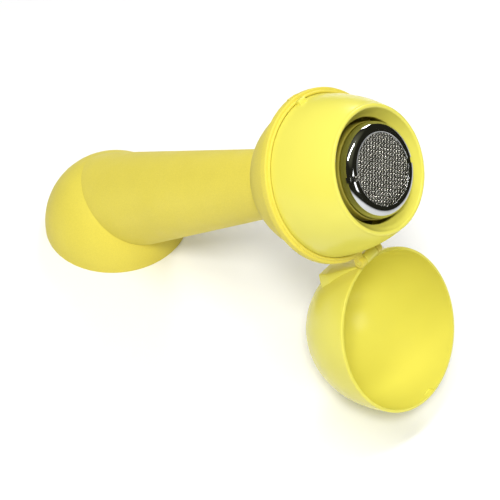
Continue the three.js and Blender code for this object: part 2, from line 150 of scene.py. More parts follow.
class FootSettings(PropertyGroup):
    """Half-ball foot, its plate, gasket and screws."""
    radius: length("Radius", "Outside radius of the half ball", 31.2)
    wall: length("Wall", "Thickness of the half ball", 2.5)
    rim: length("Rim", "Round of the rim that stands on the bench", 0.5)
    collar: length("Collar", "Length of the collar that centres the arm", 8.0)
    collar_wall: length("Collar wall", "Thickness of that collar, and its root in the half ball", 2.0)
    plate: length("Plate", "Thickness of the plate", 3.0)
    plate_gap: length("Plate gap", "Gap between the plate and the half ball", 0.5)
    socket: length("Socket", "Radius of the elbow's socket, outside", 13.5)
    screw_circle: length("Screw circle", "Radius of the circle of screws", 20.6)
    screw: length("Screw", "Radius of a screw's shank", 1.5)
    screw_head: length("Screw head", "Radius of a countersunk head", 3.0)
    screw_edge: length("Screw edge", "Round of the head's edge", 0.15)
    screw_length: length("Screw length", "Height of a screw's shoulder over the bench", 12.0)
    screws: IntProperty(name="Screws", description="Number of screws in the plate", default=3)
    cross: length("Cross", "Half length of each slot of the cross recess", 1.9)
    cross_slot: length("Cross slot", "Half width of each slot of the cross recess", 0.4)
    cross_top: length("Cross top", "Top of the cross recess over the bench", 1.4)
    gasket: length("Gasket", "Inside radius of the gasket", 14.6)
    gasket_width: length("Gasket width", "Width of the gasket", 1.5)
    gasket_height: length("Gasket height", "Height of the gasket", 1.4)
    post: length("Post", "Radius of a screw's post", 3.6)
    pilot: length("Pilot", "Radius of the hole in a post", 1.7)
    pilot_room: length("Pilot room", "Depth of that hole past the screw's shoulder", 1.8)

    def spots(self):
        """Places of the screws, spaced evenly round the elbow."""
        turns = [math.pi * (1 + 2 * i) / self.screws for i in range(self.screws)]
        return [Matrix.Translation(polar(self.screw_circle, turn)) for turn in turns]


class InletSettings(PropertyGroup):
    """Brass elbow with its threaded socket."""
    bore: length("Bore", "Minor radius of the socket's thread", 9.3)
    depth: length("Depth", "Depth of the socket", 10.0)
    wall: length("Wall", "Wall of the socket", 4.2)
    flange: length("Flange", "Half the width across the hexagon's flats", 15.0)
    flange_height: length("Flange height", "Height of the hexagon", 3.0)
    leg: length("Leg", "Radius of the leg that runs up the arm", 8.5)
    leg_end: length("Leg end", "End of the leg along the arm's axis, from the foot's centre", 21.087)
    seal: length("Seal", "Thickness of the seal between the leg and the foot", 0.8)
    tube: length("Tube", "Radius of the hole that takes the tube", 6.3)
    tube_foot: length("Tube foot", "Start of that hole along the arm's axis, from the foot's centre", 13.11)
    way: length("Way", "Radius of the waterway", 4.5)
    thread_pitch: length("Thread pitch", "Pitch of the G 1/2 thread", 1.814)
    thread_depth: length("Thread depth", "Depth of the G 1/2 thread", 1.0)


class ArmSettings(PropertyGroup):
    """Conical arm."""
    neck: length("Neck", "Outside radius at the head", 11.54)
    neck_place: length("Neck place", "Where that radius is measured, along the axis", -24.4)
    taper: number("Taper", "Growth of the radius towards the foot", 0.0899)
    wall: length("Wall", "Thickness of the arm", 2.2)
    edge: length("Edge", "Round of both ends", 0.35)
    fit: length("Fit", "Gap to the balls of foot and head", 0.15)

    def radius(self, along):
        """Outside radius at a place along the axis."""
        return self.neck + self.taper * (self.neck_place - along)


class HeadSettings(PropertyGroup):
    """Ball head: back shell with the lip, and egg-shaped front shell with the mouth."""
    back: length("Back", "Outside radius of the rear ball", 25.8)
    centre: length("Centre", "Place of the rear ball's centre along the axis", -1.2)
    back_wall: length("Back wall", "Thickness of the back shell", 2.0)
    spigot: length("Spigot", "Radius of the spigot in the arm", 9.04)
    spigot_reach: length("Spigot reach", "How far the spigot passes the ball", 5.6)
    tube: length("Tube", "Radius of the hole for the tube", 6.3)
    nut_seat: length("Nut seat", "Place of the flat that the nut bears on", -22.216)
    lip: length("Lip", "Outside radius of the lip", 29.07)
    lip_front: length("Lip front", "Front face of the lip", 1.15)
    lip_back: length("Lip back", "Back face of the lip", -1.6)
    lip_round: length("Lip round", "Round of the lip's front edge", 1.0)
    bead: length("Bead", "Radius of the small bead on the lip's front face", 0.5)
    bead_place: length("Bead place", "Distance of the bead from the axis", 27.52)
    girth: length("Girth", "Largest radius of the front shell", 27.39)
    crown: length("Crown", "Half length of the front shell's egg shape", 43.57)
    crown_place: length("Crown place", "Centre of the egg shape along the axis", -6.5)
    front_wall: length("Front wall", "Thickness of the front shell", 2.0)
    mouth_place: length("Mouth place", "Where the egg shape ends at the mouth", 21.9)
    mouth_round: length("Mouth round", "Round of the mouth's edge", 0.76)
    throat: length("Throat", "Radius at the bottom of the funnel", 17.0)
    throat_depth: length("Throat depth", "Depth of the funnel", 3.1)
    throat_land: length("Throat land", "Plain length behind the funnel", 1.2)
    skirt: length("Skirt", "Radius of the skirt inside the back shell", 23.5)
    skirt_wall: length("Skirt wall", "Thickness of the skirt", 1.5)
    skirt_depth: length("Skirt depth", "Length of the skirt", 4.0)
    skirt_root: length("Skirt root", "Height over the lip at which the skirt leaves the shell", 2.0)
    catch_width: length("Catch width", "Width of the bump on top of the lip", 4.2)
    catch_length: length("Catch length", "Length of that bump along the axis", 2.2)
    catch_rise: length("Catch rise", "Height of that bump", 0.35)
    catch_edge: length("Catch edge", "Round of that bump", 0.45)
    tab_width: length("Tab width", "Width of the snap tab on the front shell", 3.2)
    tab_length: length("Tab length", "Length of the snap tab", 2.0)
    tab_place: length("Tab place", "Middle of the snap tab along the axis", 2.6)
    tab_radius: length("Tab radius", "Distance of the tab's top from the axis", 28.1)


class HingeSettings(PropertyGroup):
    """Hinge under the lip."""
    out: length("Out", "Distance of the pin from the lip's edge", 2.1)
    knuckle: length("Knuckle", "Radius of knuckle and ears", 1.9)
    knuckle_width: length("Knuckle width", "Width of the cap's knuckle", 6.0)
    ear: length("Ear", "Width of each ear on the lip", 2.4)
    ear_edge: length("Ear edge", "Round of an ear's rim", 0.25)
    pin: length("Pin", "Radius of the pin", 0.8)
    pin_gap: length("Pin gap", "Clearance round the pin", 0.12)
    sink: length("Sink", "How far the notch in the lip passes the pin", 2.95)

    def bore(self, place):
        """The tool that bores ears and knuckle for the pin, at its distance from the axis."""
        return across(rod(self.pin + self.pin_gap, -PIN_REACH, PIN_REACH, 0), place)


class AeratorSettings(PropertyGroup):
    """Nozzle holder, chromed aerator housing and woven screens."""
    holder: length("Holder", "Outside radius of the nozzle holder's collar", 15.6)
    holder_front: length("Holder front", "Front edge of that collar", 19.6)
    holder_bore: length("Holder bore", "Radius of the collar's bore", 14.1)
    holder_cup: length("Holder cup", "Floor of the collar's bore", 11.5)
    holder_ledge: length("Holder ledge", "Width of that floor", 3.0)
    holder_waist: length("Holder waist", "Where the collar starts to narrow", 4.0)
    holder_stem: length("Holder stem", "Radius of the holder's stem", 8.8)
    holder_shoulder: length("Holder shoulder", "Where the stem begins", -7.016)
    holder_foot: length("Holder foot", "Back end of the stem", -15.016)
    tube_stop: length("Tube stop", "Where the tube's hole ends", -9.516)
    way: length("Way", "Radius of the waterway", 4.5)
    radius: length("Radius", "Outside radius of the chromed housing", 15.4)
    front: length("Front", "Front of the chromed housing", 24.0)
    mouth: length("Mouth", "Radius of the housing's opening", 11.5)
    bore: length("Bore", "Inside radius of the housing", 12.3)
    thread: length("Thread", "Outside radius of the housing's thread", 13.75)
    back: length("Back", "Back end of the housing", 13.6)
    lip: length("Lip", "Thickness of the housing's front lip", 0.7)
    dip: length("Dip", "How far the lip's inner edge lies behind the front", 0.15)
    edge: length("Edge", "Round of the housing's front, across", 2.8)
    edge_depth: length("Edge depth", "Round of the housing's front, along the axis", 3.9)
    slot_width: length("Slot width", "Width of a key slot", 1.8)
    slot_depth: length("Slot depth", "Depth of a key slot", 2.2)
    slot_turn: angle("Slot turn", "Turn of the key slots about the axis", -17.3)
    screen_pitch: length("Screen pitch", "Spacing of the outlet screen's wires", 0.9)
    screen_wire: length("Screen wire", "Radius of the outlet screen's wire", 0.155)
    screen_turn: angle("Screen turn", "Turn of the outlet screen about the axis", 9.1)
    screen_drop: length("Screen drop", "Middle of the outlet screen behind its seat", 0.2)
    inner_pitch: length("Inner pitch", "Spacing of the inner screen's wires", 1.6)
    inner_wire: length("Inner wire", "Radius of the inner screen's wire", 0.07)
    inner_turn: angle("Inner turn", "Turn of the inner screen about the axis", 33)
    inner_drop: length("Inner drop", "Middle of the inner screen behind the same seat", 0.9)
    crimp: number("Crimp", "Height of a wire's wave, in radii of the wire", 1.1)


class CapSettings(PropertyGroup):
    """Deep dust cap with its hinge block."""
    depth: length("Depth", "Depth of the cap, outside", 35.8)
    wall: length("Wall", "Thickness of the cap", 1.0)
    rim: length("Rim", "Round of the rim's outer edge", 0.45)
    fullness: number("Fullness", "Exponent of the bowl's outline", 2.19)
    seat: length("Seat", "Distance of the rim from the lip's middle", 1.45)
    block_width: length("Block width", "Width of the flat hinge block", 17.0)
    block_length: length("Block length", "Length of the block along the cap's axis", 16.8)
    block_drop: length("Block drop", "Height of the pin over the block's flat", 2.15)
    block_sink: length("Block sink", "Depth of the block in the bowl", 7.0)
    block_nose: length("Block nose", "Width of the block's flat at the rim", 8.0)
    block_shoulder: length("Block shoulder", "Distance from the rim to the flat's full width", 12.5)
    block_draft: length("Block draft", "Widening of each side of the block to its root", 2.4)
    link_sink: length("Link sink", "Depth of the knuckle's link in the block", 0.5)
    rim_step: length("Rim step", "Distance of the block from the rim", 0.5)
    recess: length("Recess", "Clearance of the recess round the snap tab", 0.35)


class FinishSettings(PropertyGroup):
    """Colours of the finishes."""
    matt: tint("Matt yellow", "Grained moulding of foot, arm and back shell", "#e9d954")
    matt_shade: tint("Matt yellow, dull", "Second tone of the grained moulding", "#e4d451")
    gloss: tint("Bright yellow", "Smooth moulding of front shell and cap", "#ebe462")
    gloss_shade: tint("Bright yellow, dull", "Second tone of the smooth moulding", "#e8df5e")
    # Painted shade: the nozzle holder's yellow darkened to olive, for the shade deep inside the mouth
    dull: tint("Dull yellow", "Nozzle holder inside the mouth", "#9e9438")
    rubber: tint("Rubber", "Gasket, washers and seals", "#242422")
    bloom: tint("Rubber bloom", "Chalky patches on the rubber", "#5a5a56")
    acetal: tint("Acetal", "Diffuser and flow regulator", "#2b2b29")
    acetal_shade: tint("Acetal, pale", "Second tone of the acetal", "#3a3a37")
    brass: tint("Brass", "Elbow, tube and nut", "#c9a75a")
    chrome: tint("Chrome", "Plated aerator housing", "#c8cacb")
    steel: tint("Steel", "Screens and screws", "#efeee4")


class StageSettings(PropertyGroup):
    """Floor, light and camera."""
    floor: tint("Floor", "Pale floor", "#fcfcfb")
    bounce: number("Floor bounce", "Share of the floor's light that the part gets back", 0.78,
                   min=0.0, max=1.0, subtype="FACTOR")
    floor_size: number("Floor size", "Half width of the floor", 3.0, unit="LENGTH")
    key: number("Key light", "Power of the key light in watts", 6.6)
    ceiling: number("Ceiling light", "Power of the strip overhead in watts", 3.0)
    back: number("Back light", "Power of the light behind in watts", 3.0)
    side: number("Side light", "Power of the light on the mouth's side in watts", 1.3)
    sky: number("Sky", "Strength of the light from all round", 0.22)
    roof: number("Roof", "Brightness of the roof in reflections", 0.2)
    wall: number("Wall", "Brightness of the walls in reflections", 0.03)
    tent: tint("Tent", "Light from all round", "#ffffff")
    mirrored: tint("Mirrored tent", "Tent as polished pieces mirror it", "#e4e2b8")
    lens: number("Lens", "Focal length in millimetres", 72.0)


# ---------------------------------------------------------------- mesh making

def rounded(corners):
    """Closed outline of (radius, height, round) corners, each corner turned into a small arc."""
    points = []
    for i, (radius, height, fillet) in enumerate(corners):
        here = Vector((radius, height))
        before = Vector(corners[i - 1][:2]) - here
        after = Vector(corners[(i + 1) % len(corners)][:2]) - here
        if not fillet:
            points.append((radius, height))
            continue
        reach = fillet / math.tan(before.angle(after) / 2)
        reach = min(reach, before.length * ROUND_SHARE, after.length * ROUND_SHARE)
        start, end = here + before.normalized() * reach, here + after.normalized() * reach
        for k in range(CORNER_STEPS + 1):
            t = k / CORNER_STEPS
            points.append(tuple(start * (1 - t) ** 2 + here * 2 * t * (1 - t) + end * t ** 2))
    return points


def sweep(centre, across, along, start, end, steps=ARC_STEPS):
    """Points of an arc or ellipse on the axis, as corners with no round."""
    turns = [start + (end - start) * i / steps for i in range(steps + 1)]
    return [(centre[0] + across * math.cos(a), centre[1] + along * math.sin(a), 0) for a in turns]


def stitched(rings):
    """Closed shell through a loop of rings of points, all of one count; a pole is one point repeated."""
    shell = bmesh.new()
    rows = []
    for ring in rings:
        if all(p == ring[0] for p in ring):
            rows.append([shell.verts.new(ring[0])] * len(ring))
        else:
            rows.append([shell.verts.new(p) for p in ring])
    for i, row in enumerate(rows):
        last = rows[i - 1]
        for j in range(len(row)):
            k = (j + 1) % len(row)
            corners = list(dict.fromkeys([last[j], last[k], row[k], row[j]]))
            if len(corners) > 2:
                shell.faces.new(corners)
    bmesh.ops.recalc_face_normals(shell, faces=shell.faces)
    return shell


def turned(corners, turns=TURNS):
    """Outline of (radius, height, round) corners turned about the axis."""
    angles = [2 * math.pi * j / turns for j in range(turns)]
    return stitched([[polar(r, a, z) for a in angles] if r > POLE else [(0.0, 0.0, z)] * turns
                     for r, z in rounded(corners)])


def bevelled(shape, edges, size):
    """The shape with some of its edges rounded."""
    bmesh.ops.bevel(shape, geom=edges, offset=size, segments=BEVEL_STEPS, profile=0.5, affect="EDGES")
    return shape


def block(low, high, bevel=0):
    """Box between two corners with rounded edges."""
    shape = bmesh.new()
    low, high = Vector(low), Vector(high)
    place = Matrix.Translation((high + low) / 2) @ Matrix.Diagonal((*(high - low), 1))
    bmesh.ops.create_cube(shape, size=1, matrix=place)
    return bevelled(shape, shape.edges[:], bevel) if bevel else shape


def hull(corners, bevel):
    """Convex solid round some points, with its sharp edges rounded."""
    shape = bmesh.new()
    for corner in corners:
        shape.verts.new(corner)
    bmesh.ops.convex_hull(shape, input=shape.verts[:])
    bmesh.ops.dissolve_limit(shape, angle_limit=FLAT, verts=shape.verts[:], edges=shape.edges[:])
    bevelled(shape, [e for e in shape.edges if len(e.link_faces) == 2 and e.calc_face_angle() > SHARP], bevel)
    bmesh.ops.recalc_face_normals(shape, faces=shape.faces)
    return shape


def rod(radius, start, end, edge, turns=SMALL_TURNS):
    """Round bar along the axis with rounded ends."""
    return turned([(0, start, 0), (radius, start, edge), (radius, end, edge), (0, end, 0)], turns)


def moved(shape, matrix):
    """The shape put in its place."""
    bmesh.ops.transform(shape, matrix=matrix, verts=shape.verts[:])
    return shape


def across(shape, x):
    """Lays a turned shape along Y, at a distance from the arm's axis."""
    return moved(shape, Matrix.Translation((x, 0, 0)) @ Matrix.Rotation(-QUARTER, 4, "X"))


def placed(name, shape):
    """A linked object made of a shape, which is used up."""
    data = bpy.data.meshes.new(name)
    shape.to_mesh(data)
    shape.free()
    thing = bpy.data.objects.new(name, data)
    bpy.context.scene.collection.objects.link(thing)
    return thing


def carved(shape, steps):
    """Adds to and cuts from a closed shape: steps are (ADD, CUT or COMMON, shape)."""
    holders = [placed("carving", form) for form in (shape, *(tool for _, tool in steps))]
    base = holders[0]
    for (operation, _), tool in zip(steps, holders[1:]):
        cut = base.modifiers.new("cut", "BOOLEAN")
        cut.operation, cut.solver, cut.object = operation, "EXACT", tool
    evaluated = base.evaluated_get(bpy.context.evaluated_depsgraph_get())
    result = bmesh.new()
    result.from_mesh(evaluated.data)
    for holder in holders:
        data = holder.data
        bpy.data.objects.remove(holder)
        bpy.data.meshes.remove(data)
    bmesh.ops.remove_doubles(result, verts=result.verts[:], dist=WELD)
    return result


def dressed(name, shape, slot, node, body=FIXED, finish=None):
    """Turns a shape into a finished piece that rides on its body and stands for a node."""
    for face in shape.faces:
        face.smooth = True
    for edge in shape.edges:
        edge.smooth = len(edge.link_faces) == 2 and edge.calc_face_angle() < SHARP
    settled(placed(name, shape), slot, [node], body, finish)


def settled(piece, slot, nodes, body=FIXED, finish=None):
    """Gives a linked piece its finish, the one of its slot unless another is given, ties it to its body and
    hides the nodes that it stands for.
    """
    piece.data.materials.clear()
    piece.data.materials.append(finish or FINISHES[slot](bpy.context.scene.outlet_finish))
    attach(piece, body)
    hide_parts(*nodes)


# ---------------------------------------------------------------- nodes

def feed(tree, node, values):
    """Fills a node's inputs, or links them to a socket or to another node's first output in use."""
    for key, value in values.items():
        if isinstance(value, bpy.types.Node):
            value = next(socket for socket in value.outputs if socket.enabled)
        if isinstance(value, bpy.types.NodeSocket):
            tree.links.new(value, node.inputs[key])
        else:
            node.inputs[key].default_value = value


def add_node(tree, kind, values=None, **settings):
    """Adds a node, sets it and feeds its inputs."""
    node = tree.nodes.new(kind)
    for key, value in settings.items():
        setattr(node, key, value)
    feed(tree, node, values or {})
    return node


def node_tree(name, inputs):
    """A new Geometry Nodes tree with named inputs; returns it with its inputs and their identifiers."""
    tree = bpy.data.node_groups.new(name, "GeometryNodeTree")
    tree.interface.new_socket("Geometry", in_out="OUTPUT", socket_type="NodeSocketGeometry")
    sockets = {key: tree.interface.new_socket(key, in_out="INPUT", socket_type=f"NodeSocket{kind}").identifier
               for key, kind in inputs.items()}
    return tree, add_node(tree, "NodeGroupInput").outputs, sockets


def ended(tree, geometry, finish):
    """Ends a tree: makes its instances real, gives them their finish and hands them out."""
    real = add_node(tree, "GeometryNodeRealizeInstances", {"Geometry": geometry})
    coated = add_node(tree, "GeometryNodeSetMaterial", {"Geometry": real, "Material": finish})
    add_node(tree, "NodeGroupOutput", {"Geometry": coated})


def grown(name, tree, sockets, values):
    """Runs a tree on an empty mesh, with its inputs set, and gives the result as a plain mesh object."""
    holder = placed(name, bmesh.new())
    nodes = holder.modifiers.new(name, "NODES")
    nodes.node_group = tree
    for key, value in values.items():
        nodes[sockets[key]] = value
    evaluated = holder.evaluated_get(bpy.context.evaluated_depsgraph_get())
    data = bpy.data.meshes.new_from_object(evaluated)
    holder.modifiers.remove(nodes)
    holder.data = data
    return holder


# ---------------------------------------------------------------- finishes

def surface(name, skin):
    """The finish of this name; the first time, skin(make, place) gives what its shader's inputs get."""
    finish = bpy.data.materials.get(name)
    if not finish:
        finish = bpy.data.materials.new(name)
        finish.use_nodes = True
        tree = finish.node_tree
        place = add_node(tree, "ShaderNodeTexCoord").outputs["Object"]
        feed(tree, tree.nodes["Principled BSDF"], skin(partial(add_node, tree), place))
    return finish


def mottled(make, place, spacing, detail, low, high, **grain):
    """Noise of a given spacing in metres, spread between two values."""
    noise = make("ShaderNodeTexNoise", {"Vector": place, "Scale": 1 / spacing, "Detail": detail, **grain})
    return make("ShaderNodeMapRange", {"Value": noise, "From Min": 0.3, "From Max": 0.7,
                                       "To Min": low, "To Max": high})


def grained_polypropylene(tones):
    """Polypropylene moulded in a spark-eroded tool: a dull, even skin whose fine grain breaks up highlights.
    The real grain is near 0.15 mm; it is drawn at 0.45 mm, so that it shows at the photo's distance."""
    def skin(make, place):
        clouds = mottled(make, place, 22 * MM, 3, 0.0, 1.0)
        base = make("ShaderNodeMix", {"Factor": clouds, "A": tones.matt, "B": tones.matt_shade},
                    data_type="RGBA")
        grain = make("ShaderNodeTexNoise", {"Vector": place, "Scale": 1 / (0.45 * MM), "Detail": 4.0,
                                            "Roughness": 0.6})
        fleck = make("ShaderNodeMapRange", {"Value": grain, "From Min": 0.3, "From Max": 0.7,
                                            "To Min": 0.95, "To Max": 1.04})
        return {"Base Color": make("ShaderNodeVectorMath", {0: base, "Scale": fleck}, operation="SCALE"),
                "Roughness": mottled(make, place, 6 * MM, 3, 0.50, 0.62),
                "Normal": make("ShaderNodeBump", {"Height": grain, "Strength": 0.35, "Distance": 0.12 * MM}),
                "IOR": 1.49}

    return surface("grained_polypropylene_moulded", skin)


def smooth_abs(tones):
    """ABS moulded in a polished tool: a clear lemon skin with soft reflections, a slight waviness from
    shrinkage and rare dark flecks of burnt pigment."""
    def skin(make, place):
        clouds = mottled(make, place, 30 * MM, 2, 0.0, 1.0)
        base = make("ShaderNodeMix", {"Factor": clouds, "A": tones.gloss, "B": tones.gloss_shade},
                    data_type="RGBA")
        cells = make("ShaderNodeTexVoronoi", {"Vector": place, "Scale": 1 / (24 * MM)})
        fleck = make("ShaderNodeMapRange", {"Value": cells, "From Min": 0.008, "From Max": 0.014,
                                            "To Min": 0.6, "To Max": 1.0})
        wave = make("ShaderNodeTexNoise", {"Vector": place, "Scale": 1 / (3 * MM), "Detail": 2.0})
        return {"Base Color": make("ShaderNodeVectorMath", {0: base, "Scale": fleck}, operation="SCALE"),
                "Roughness": mottled(make, place, 12 * MM, 2, 0.24, 0.27),
                "Normal": make("ShaderNodeBump", {"Height": wave, "Strength": 0.2, "Distance": 0.05 * MM}),
                "IOR": 1.54, "Specular IOR Level": 0.35}

    return surface("smooth_abs_moulded", skin)


def shade_painted_abs(tones):
    """Yellow ABS darkened to an olive, even skin: painted shade for the nozzle holder, which stays in shade
    deep inside the mouth.
    """
    def skin(make, place):
        clouds = mottled(make, place, 5 * MM, 3, 0.94, 1.05)
        return {"Base Color": make("ShaderNodeVectorMath", {0: tones.dull[:3], "Scale": clouds},
                                   operation="SCALE"),
                "Roughness": 0.42, "IOR": 1.54}

    return surface("dull_abs_moulded", skin)


def moulded_rubber(tones):
    """EPDM rubber, compression moulded: near black and dry, with a chalky bloom in patches."""
    def skin(make, place):
        patches = mottled(make, place, 5 * MM, 4, 0.0, 0.25)
        return {"Base Color": make("ShaderNodeMix", {"Factor": patches, "A": tones.rubber, "B": tones.bloom},
                                   data_type="RGBA"),
                "Roughness": mottled(make, place, 2 * MM, 3, 0.72, 0.9), "IOR": 1.5}

    return surface("epdm_rubber_moulded", skin)


def moulded_acetal(tones):
    """Acetal, injection moulded: waxy and dark, with a low even sheen."""
    def skin(make, place):
        clouds = mottled(make, place, 4 * MM, 3, 0.0, 0.4)
        return {"Base Color": make("ShaderNodeMix", {"Factor": clouds, "A": tones.acetal,
                                                     "B": tones.acetal_shade}, data_type="RGBA"),
                "Roughness": mottled(make, place, 3 * MM, 3, 0.35, 0.5), "IOR": 1.48}

    return surface("acetal_moulded", skin)


def metal(name, colour, dull, spacing, strength):
    """A bare or plated metal with tool or drawing marks of a given spacing."""
    def skin(make, place):
        clouds = mottled(make, place, 7 * MM, 4, 0.9, 1.05)
        marks = make("ShaderNodeTexNoise", {"Vector": place, "Scale": 1 / spacing, "Detail": 3.0})
        return {"Base Color": make("ShaderNodeVectorMath", {0: colour[:3], "Scale": clouds},
                                   operation="SCALE"),
                "Roughness": mottled(make, place, 4 * MM, 4, *dull),
                "Normal": make("ShaderNodeBump", {"Height": marks, "Strength": strength,
                                                  "Distance": 0.02 * MM}),
                "Metallic": 1.0}

    return surface(name, skin)


def turned_brass(tones):
    """Brass turned on a lathe: warm, with a satin of fine tool marks."""
    return metal("brass_turned", tones.brass, (0.24, 0.38), 0.4 * MM, 0.3)


def chrome_plate(tones):
    """Bright chrome on brass: a dark mirror with the faintest haze of water spots."""
    return metal("chrome_plated", tones.chrome, (0.05, 0.11), 2.5 * MM, 0.05)


def drawn_steel(tones):
    """Stainless steel, drawn to wire or turned: bright, with short soft glints."""
    return metal("stainless_steel_drawn", tones.steel, (0.1, 0.18), 0.3 * MM, 0.1)


FINISHES = {
    "rubber_black": moulded_rubber, "acetal_black": moulded_acetal, "brass": turned_brass,
    "chrome": chrome_plate, "steel": drawn_steel, "moulded_yellow_matt": grained_polypropylene,
    "moulded_yellow_gloss": smooth_abs,
}


# ---------------------------------------------------------------- pieces

class OUTLET_OT_foot(Operator):
    """Make the half-ball foot with its collar, elbow seat and screw posts"""
    bl_idname = "outlet.foot"
    bl_label = "Foot"

    def execute(self, context):
        foot, arm, layout, inlet = chosen(context, "foot", "arm", "layout", "inlet")
        inner = foot.radius - foot.wall
        shell = turned([
            *sweep((0, 0), foot.radius, foot.radius, math.asin(foot.rim / foot.radius), QUARTER),
            *sweep((0, 0), inner, inner, QUARTER, 0),
            (foot.radius, 0, foot.rim),
        ])
        place = layout.foot_frame()
        seat = inlet.leg_end + inlet.seal + 2 * layout.gap
        face = math.sqrt(foot.radius ** 2 - layout.rise ** 2)
        end = face + foot.collar
        collar = arm.radius(end - layout.reach) - arm.wall - layout.gap
        bore = collar - foot.collar_wall
        middle = face - foot.wall / 2
        root = middle - foot.collar_wall
        ring = turned([(bore, root, 0), (collar, root, 0), (collar, end, SOFT), (bore, end, SOFT)])
        steps = [
            (ADD, moved(ring, place)),
            (ADD, moved(rod(inlet.leg, seat, middle, FINE, ROD_TURNS), place)),
            (CUT, moved(rod(inlet.tube, seat - OVERRUN, end, 0, ROD_TURNS), place)),
        ]
        ball = foot.radius - foot.wall / 2
        for spot in foot.spots():
            core = turned([(0, 0, 0), *sweep((0, 0), ball, ball, 0, NEAR_POLE), (0, ball, 0)], ROD_TURNS)
            post = moved(rod(foot.post, foot.plate + layout.gap, inner, 0, POST_TURNS), spot)
            pilot = rod(foot.pilot, 0, foot.screw_length + foot.pilot_room, 0, PILOT_TURNS)
            steps += [(ADD, carved(post, [(COMMON, core)])), (CUT, moved(pilot, spot))]
        dressed("foot_dome", carved(shell, steps), "moulded_yellow_matt", "base_dome")
        return {"FINISHED"}


class OUTLET_OT_foot_plate(Operator):
    """Make the plate, gasket and countersunk screws under the foot"""
    bl_idname = "outlet.foot_plate"
    bl_label = "Foot plate"

    def execute(self, context):
        foot, layout, tones = chosen(context, "foot", "layout", "finish")
        gap = layout.gap
        bore, edge = foot.socket + gap, foot.radius - foot.wall - foot.plate_gap
        near, far, deep = foot.gasket - gap, foot.gasket + foot.gasket_width + gap, foot.gasket_height + gap
        plate = turned([
            (bore, 0, FINE), (near, 0, 0), (near, deep, 0), (far, deep, 0), (far, 0, 0),
            (edge, 0, EDGE), (edge, foot.plate, FINE), (bore, foot.plate, FINE),
        ])
        sink, shank = foot.screw_head + gap, foot.screw + gap
        low, high = -OVERRUN, foot.plate + OVERRUN
        hole = [(0, low, 0), (sink, low, 0), (sink, gap, 0), (shank, sink - shank + gap, 0), (shank, high, 0),
                (0, high, 0)]
        holes = [(CUT, moved(turned(hole, SMALL_TURNS), spot)) for spot in foot.spots()]
        dressed("foot_plate", carved(plate, holes), "moulded_yellow_matt", "base_plate")

        outer, top = foot.gasket + foot.gasket_width, foot.gasket_height
        gasket = turned([(foot.gasket, 0, EDGE), (outer, 0, EDGE), (outer, top, FINE),
                         (foot.gasket, top, FINE)])
        dressed("foot_gasket", gasket, "rubber_black", "base_gasket")

        screw = turned([(0, gap, 0), (foot.screw_head, gap, foot.screw_edge),
                        (foot.screw, foot.screw_head - foot.screw + gap, CRISP),
                        (foot.screw, foot.screw_length, CRISP), (0, foot.screw_length + foot.screw, 0)],
                       SMALL_TURNS)
        cross = [(CUT, block((-a, -b, -OVERRUN), (a, b, foot.cross_top)))
                 for a, b in ((foot.cross, foot.cross_slot), (foot.cross_slot, foot.cross))]
        single = placed("plate_screw", carved(screw, cross))
        screws = self.repeated(foot, single, drawn_steel(tones))
        settled(screws, "steel", [f"plate_screw_{i + 1}" for i in range(foot.screws)])
        bpy.data.objects.remove(single)
        return {"FINISHED"}

    def repeated(self, foot, single, finish):
        """Copies of one screw, spaced evenly on their circle."""
        tree, given, sockets = node_tree("fasteners_on_a_circle", {
            "Fastener": "Object", "Circle": "Float", "Count": "Int", "Start": "Vector", "Finish": "Material"})
        circle = add_node(tree, "GeometryNodeMeshCircle", {"Vertices": given["Count"],
                                                           "Radius": given["Circle"]})
        spots = add_node(tree, "GeometryNodeTransform", {"Geometry": circle, "Rotation": given["Start"]})
        source = add_node(tree, "GeometryNodeObjectInfo", {"Object": given["Fastener"], "As Instance": True})
        copies = add_node(tree, "GeometryNodeInstanceOnPoints", {"Points": spots,
                                                                 "Instance": source.outputs["Geometry"]})
        ended(tree, copies, given["Finish"])
        return grown("plate_screws", tree, sockets, {
            "Fastener": single, "Circle": foot.screw_circle, "Count": foot.screws,
            "Start": (0.0, 0.0, math.pi / foot.screws), "Finish": finish})


